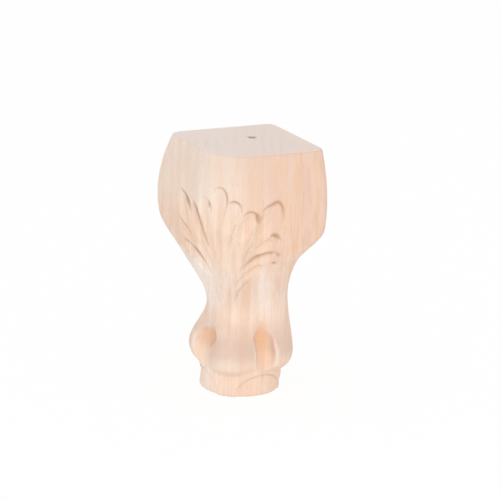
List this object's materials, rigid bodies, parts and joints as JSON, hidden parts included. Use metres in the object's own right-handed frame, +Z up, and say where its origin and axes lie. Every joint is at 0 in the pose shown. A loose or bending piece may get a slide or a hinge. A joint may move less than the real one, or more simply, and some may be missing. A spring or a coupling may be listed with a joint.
{
  "type": "carved furniture leg",
  "caption": "Short cabriole furniture leg carved from one piece of pale wood: square block, knee with a sunk leaf, slim ankle, claw foot on a round pad, pilot hole in the top.",
  "frame": {"origin": "centre of the foot's flat underside, on the axis of the foot and of the top block", "axes": "+Z up along the leg; the two show faces look along -X and -Y with the carved knee between them, the two plain back faces along +X and +Y"},
  "size_m": [0.0589, 0.0589, 0.115],
  "materials": {
    "raw_wood": "raw, sanded, unvarnished"
  },
  "bodies": {
    "root": {"carved_leg": "raw_wood"}
  },
  "joints": []
}
